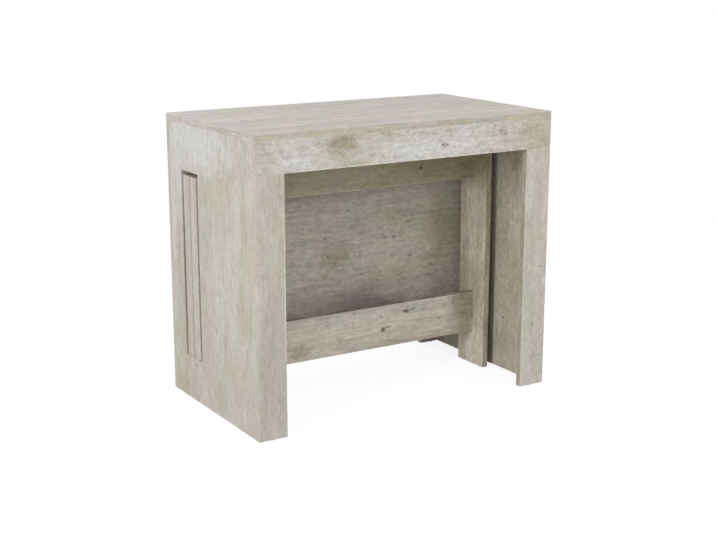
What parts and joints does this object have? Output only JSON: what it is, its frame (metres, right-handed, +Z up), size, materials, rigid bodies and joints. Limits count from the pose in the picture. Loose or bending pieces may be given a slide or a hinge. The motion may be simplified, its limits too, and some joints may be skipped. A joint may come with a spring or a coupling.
{
  "type": "extending console table",
  "caption": "Narrow console table of greige wood-look boards that pulls apart on telescopic bars with a centre frame into a long dining table, its leaves stored on edge in side slots.",
  "frame": {"origin": "floor point below the middle of the closed table", "axes": "+X along the width, to the right seen from the front; +Y from the front to the wall side; +Z up"},
  "size_m": [0.9, 0.51, 0.77],
  "materials": {
    "top_board": "weathered greige laminate, satin",
    "shell_board": "weathered greige laminate, satin",
    "frame_board": "weathered greige laminate, satin",
    "leaf_board": "weathered greige laminate, satin",
    "dowel_beech": "bare beech",
    "bar_aluminium": "mill-finish extrusion",
    "zinc_steel": "zinc plated",
    "pin_steel": "turned and polished",
    "slide_nylon": "moulded nylon",
    "glide_plastic": "moulded plastic"
  },
  "bodies": {
    "rear_half": {"rear_top": "top_board", "rear_apron": "shell_board", "rear_left_side": "shell_board", "rear_right_side": "shell_board", "rear_left_stile": "shell_board", "rear_right_stile": "shell_board", "rear_dowels": "dowel_beech", "rear_corner_brackets": "zinc_steel", "rear_bar_brackets": "zinc_steel", "rear_screws": "zinc_steel", "rear_glides": "glide_plastic", "rear_seam_pins": "pin_steel", "slide_bar_left_1": "bar_aluminium", "slide_bar_right_1": "bar_aluminium"},
    "front_half": {"front_top": "top_board", "front_apron": "shell_board", "front_left_side": "shell_board", "front_right_side": "shell_board", "front_left_stile": "shell_board", "front_right_stile": "shell_board", "front_dowels": "dowel_beech", "front_corner_brackets": "zinc_steel", "front_bar_brackets": "zinc_steel", "front_screws": "zinc_steel", "front_glides": "glide_plastic", "slide_bar_left_7": "bar_aluminium", "slide_bar_right_7": "bar_aluminium", "slide_blocks_7": "slide_nylon"},
    "stage_2": {"slide_bar_left_2": "bar_aluminium", "slide_bar_right_2": "bar_aluminium", "slide_blocks_2": "slide_nylon"},
    "stage_3": {"slide_bar_left_3": "bar_aluminium", "slide_bar_right_3": "bar_aluminium", "slide_blocks_3": "slide_nylon"},
    "centre_frame": {"centre_left_leg": "frame_board", "centre_right_leg": "frame_board", "centre_upper_rail": "frame_board", "centre_lower_rail": "frame_board", "centre_bolts": "zinc_steel", "centre_hangers": "zinc_steel", "centre_screws": "zinc_steel", "centre_glides": "glide_plastic", "slide_bar_left_4": "bar_aluminium", "slide_bar_right_4": "bar_aluminium", "slide_blocks_4": "slide_nylon"},
    "stage_5": {"slide_bar_left_5": "bar_aluminium", "slide_bar_right_5": "bar_aluminium", "slide_blocks_5": "slide_nylon"},
    "stage_6": {"slide_bar_left_6": "bar_aluminium", "slide_bar_right_6": "bar_aluminium", "slide_blocks_6": "slide_nylon"},
    "stored_leaf_1": {"leaf_1_board": "leaf_board", "leaf_1_pins": "pin_steel"},
    "stored_leaf_2": {"leaf_2_board": "leaf_board", "leaf_2_pins": "pin_steel"},
    "stored_leaf_3": {"leaf_3_board": "leaf_board", "leaf_3_pins": "pin_steel"},
    "stored_leaf_4": {"leaf_4_board": "leaf_board", "leaf_4_pins": "pin_steel"}
  },
  "joints": [
    {"name": "front_slide", "type": "slide", "parent": "rear_half", "child": "front_half", "axis": [0, -1, 0], "range_m": [0, 1.98]},
    {"name": "stage_2_slide", "type": "slide", "parent": "rear_half", "child": "stage_2", "axis": [0, -1, 0], "range_m": [0, 0.33]},
    {"name": "stage_3_slide", "type": "slide", "parent": "rear_half", "child": "stage_3", "axis": [0, -1, 0], "range_m": [0, 0.66]},
    {"name": "centre_slide", "type": "slide", "parent": "rear_half", "child": "centre_frame", "axis": [0, -1, 0], "range_m": [0, 0.99]},
    {"name": "stage_5_slide", "type": "slide", "parent": "rear_half", "child": "stage_5", "axis": [0, -1, 0], "range_m": [0, 1.32]},
    {"name": "stage_6_slide", "type": "slide", "parent": "rear_half", "child": "stage_6", "axis": [0, -1, 0], "range_m": [0, 1.65]},
    {"name": "leaf_1_slide", "type": "slide", "parent": "rear_half", "child": "stored_leaf_1", "axis": [-1, 0, 0], "range_m": [0, 0.91]},
    {"name": "leaf_2_slide", "type": "slide", "parent": "rear_half", "child": "stored_leaf_2", "axis": [-1, 0, 0], "range_m": [0, 0.91]},
    {"name": "leaf_3_slide", "type": "slide", "parent": "rear_half", "child": "stored_leaf_3", "axis": [-1, 0, 0], "range_m": [0, 0.91]},
    {"name": "leaf_4_slide", "type": "slide", "parent": "rear_half", "child": "stored_leaf_4", "axis": [-1, 0, 0], "range_m": [0, 0.91]}
  ],
  "couplings": [
    {"joint": "stage_2_slide", "follows": "front_slide", "ratio": 0.16667},
    {"joint": "stage_3_slide", "follows": "front_slide", "ratio": 0.33333},
    {"joint": "centre_slide", "follows": "front_slide", "ratio": 0.5},
    {"joint": "stage_5_slide", "follows": "front_slide", "ratio": 0.66667},
    {"joint": "stage_6_slide", "follows": "front_slide", "ratio": 0.83333}
  ]
}
